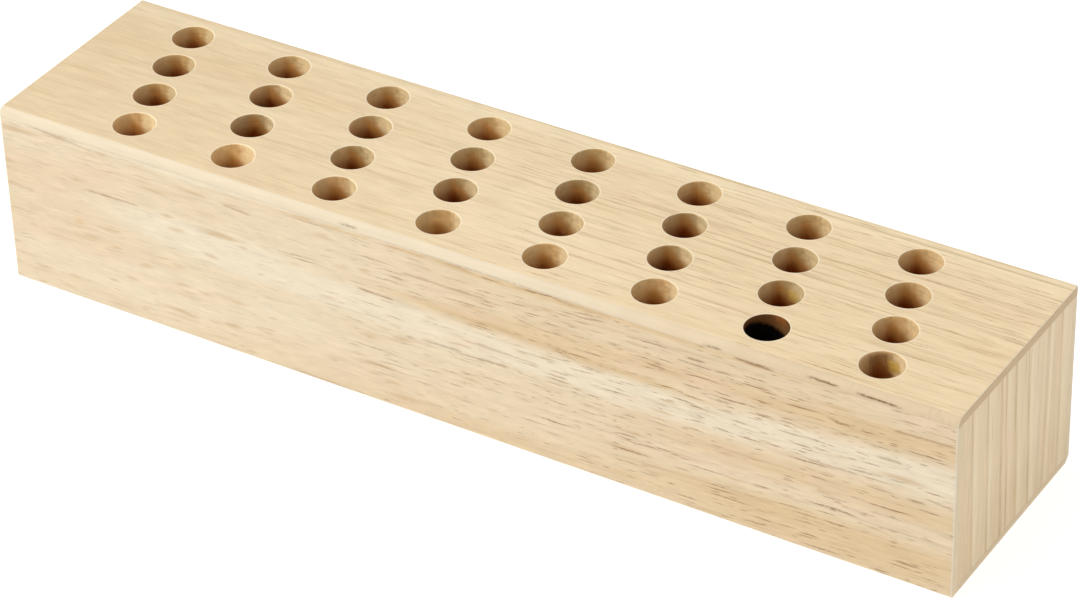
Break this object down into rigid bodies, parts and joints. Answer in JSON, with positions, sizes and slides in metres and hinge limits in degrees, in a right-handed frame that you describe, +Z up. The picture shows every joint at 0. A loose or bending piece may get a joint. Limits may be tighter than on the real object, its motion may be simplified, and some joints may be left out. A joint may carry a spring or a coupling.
{
  "type": "tool storage caddy",
  "caption": "Long glued-up wooden block with slanted ranks of deep round holes in its top, for standing hobby tools upright on a bench.",
  "frame": {"origin": "middle of the base, on the surface that the block stands on", "axes": "+X along the block to the end with vertical grain that the picture shows, +Y to the back face, +Z up out of the holes"},
  "size_m": [0.35, 0.08, 0.0664],
  "materials": {
    "face_board": "sanded smooth, unvarnished light hardwood with long grain and short dark pores",
    "end_panel": "sanded smooth, unvarnished, grain running upright",
    "core": "drilled side and end grain, unfinished"
  },
  "bodies": {
    "root": {"top_board": "face_board", "front_board": "face_board", "back_board": "face_board", "bottom_board": "face_board", "left_end_panel": "end_panel", "right_end_panel": "end_panel", "core_stave_1": "core", "core_stave_2": "core", "core_stave_3": "core", "core_stave_4": "core"}
  },
  "joints": []
}
